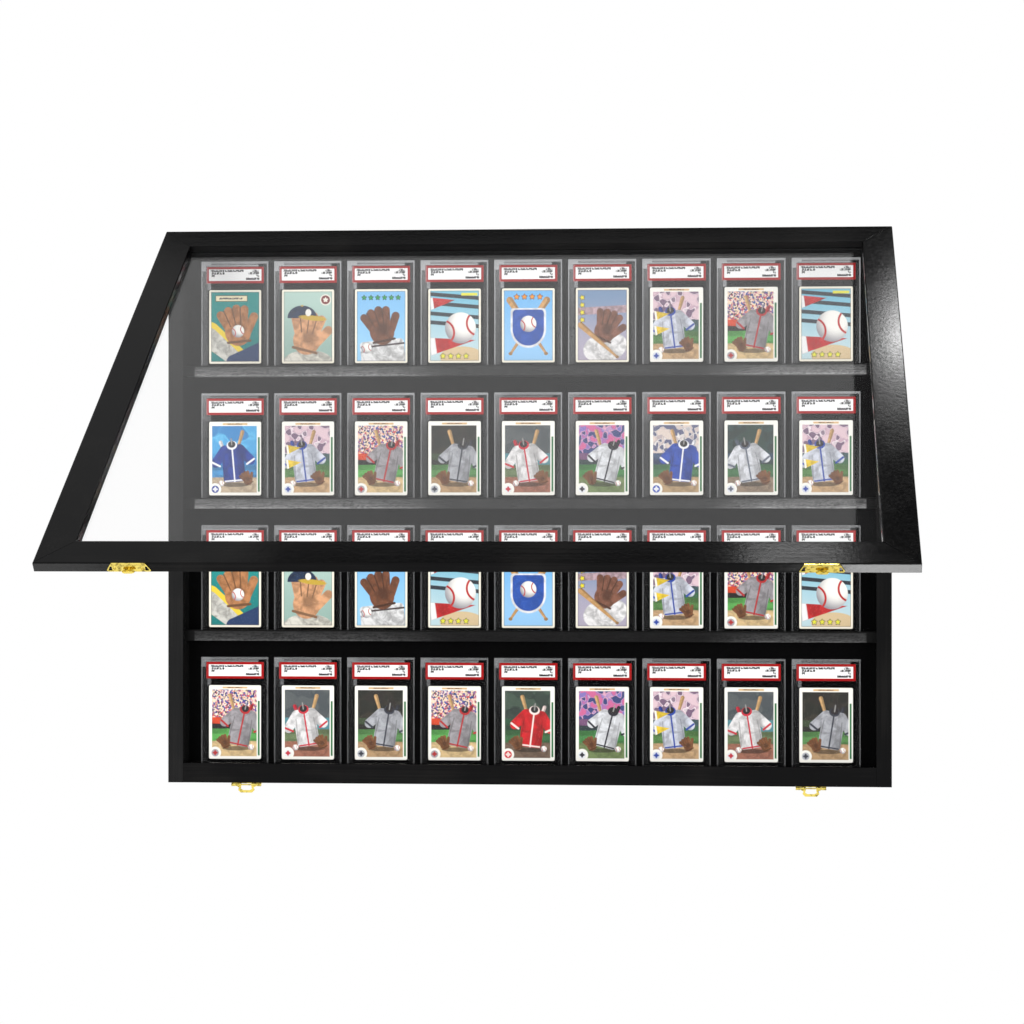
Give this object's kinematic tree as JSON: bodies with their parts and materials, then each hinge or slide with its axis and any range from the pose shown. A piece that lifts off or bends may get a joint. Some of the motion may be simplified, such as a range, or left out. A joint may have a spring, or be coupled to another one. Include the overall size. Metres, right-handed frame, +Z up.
{
  "type": "trading card display case",
  "caption": "Shallow black wooden wall case with a top-hinged clear door, felt-lined shelves holding rows of graded card slabs, and brass hasp catches with turn knobs.",
  "frame": {"origin": "midway between the entry holes of the two keyhole hangers, in the wall plane", "axes": "+X to the right of someone facing the case, +Y into the wall, +Z up; stored with the door swung 53.5 degrees open and the hasps hanging"},
  "size_m": [0.864, 0.569, 0.6713],
  "materials": {
    "black_wood": "satin black paint over fine straight grain",
    "black_hardboard": "thin pressed board, dyed black, matt",
    "black_felt": "short black felt, matt",
    "beech": "bare pressed beech",
    "steel": "bright zinc plate",
    "brass": "bright yellow brass plate, polished",
    "acrylic_pane": "clear polished acrylic",
    "clear_shell": "clear moulded plastic, polished faces",
    "card_stock": "printed card, smooth",
    "label_paper": "printed paper"
  },
  "bodies": {
    "case": {"case_left_side": "black_wood", "case_right_side": "black_wood", "case_top_rail": "black_wood", "case_bottom_rail": "black_wood", "lower_shelf": "black_wood", "middle_shelf": "black_wood", "upper_shelf": "black_wood", "back_panel": "black_hardboard", "felt_liner": "black_felt", "corner_biscuits": "beech", "back_panel_staples": "steel", "hanger_plates": "steel", "hanger_screws": "steel", "hinge_pins": "brass", "hasp_pins": "brass", "hinge_case_leaf_left": "brass", "hinge_case_leaf_right": "brass", "hinge_case_screws": "brass", "catch_base_left": "brass", "catch_base_right": "brass", "catch_base_screws": "brass", "bottom_row_slab_fronts": "clear_shell", "bottom_row_slab_backs": "clear_shell", "third_row_slab_fronts": "clear_shell", "third_row_slab_backs": "clear_shell", "second_row_slab_fronts": "clear_shell", "second_row_slab_backs": "clear_shell", "top_row_slab_fronts": "clear_shell", "top_row_slab_backs": "clear_shell", "bottom_row_cards": "card_stock", "third_row_cards": "card_stock", "second_row_cards": "card_stock", "top_row_cards": "card_stock", "bottom_row_labels": "label_paper", "third_row_labels": "label_paper", "second_row_labels": "label_paper", "top_row_labels": "label_paper"},
    "door": {"door_top_rail": "black_wood", "door_bottom_rail": "black_wood", "door_left_stile": "black_wood", "door_right_stile": "black_wood", "glazing_bead_top": "black_wood", "glazing_bead_bottom": "black_wood", "glazing_bead_left": "black_wood", "glazing_bead_right": "black_wood", "hinge_door_leaf_left": "brass", "hinge_door_leaf_right": "brass", "hinge_door_screws": "brass", "catch_plate_left": "brass", "catch_plate_right": "brass", "catch_plate_screws": "brass", "door_pane": "acrylic_pane"},
    "hasp_left": {"hasp_leaf_left": "brass"},
    "hasp_right": {"hasp_leaf_right": "brass"},
    "knob_left": {"turn_knob_left": "brass"},
    "knob_right": {"turn_knob_right": "brass"}
  },
  "joints": [
    {"name": "door_hinge", "type": "hinge", "parent": "case", "child": "door", "pos_m": [0, -0.0364, 0.0626], "axis": [-1, 0, 0], "range_deg": [-53.5, 126.5]},
    {"name": "hasp_left_hinge", "type": "hinge", "parent": "case", "child": "hasp_left", "pos_m": [-0.337, -0.0356, -0.5922], "axis": [-1, 0, 0], "range_deg": [-90, 90]},
    {"name": "hasp_right_hinge", "type": "hinge", "parent": "case", "child": "hasp_right", "pos_m": [0.337, -0.0356, -0.5922], "axis": [-1, 0, 0], "range_deg": [-90, 90]},
    {"name": "knob_left_turn", "type": "hinge", "parent": "door", "child": "knob_left", "pos_m": [-0.337, -0.56302, -0.32285], "axis": [0, -0.8039, -0.5948], "range_deg": [0, 90]},
    {"name": "knob_right_turn", "type": "hinge", "parent": "door", "child": "knob_right", "pos_m": [0.337, -0.56302, -0.32285], "axis": [0, -0.8039, -0.5948], "range_deg": [0, 90]}
  ]
}
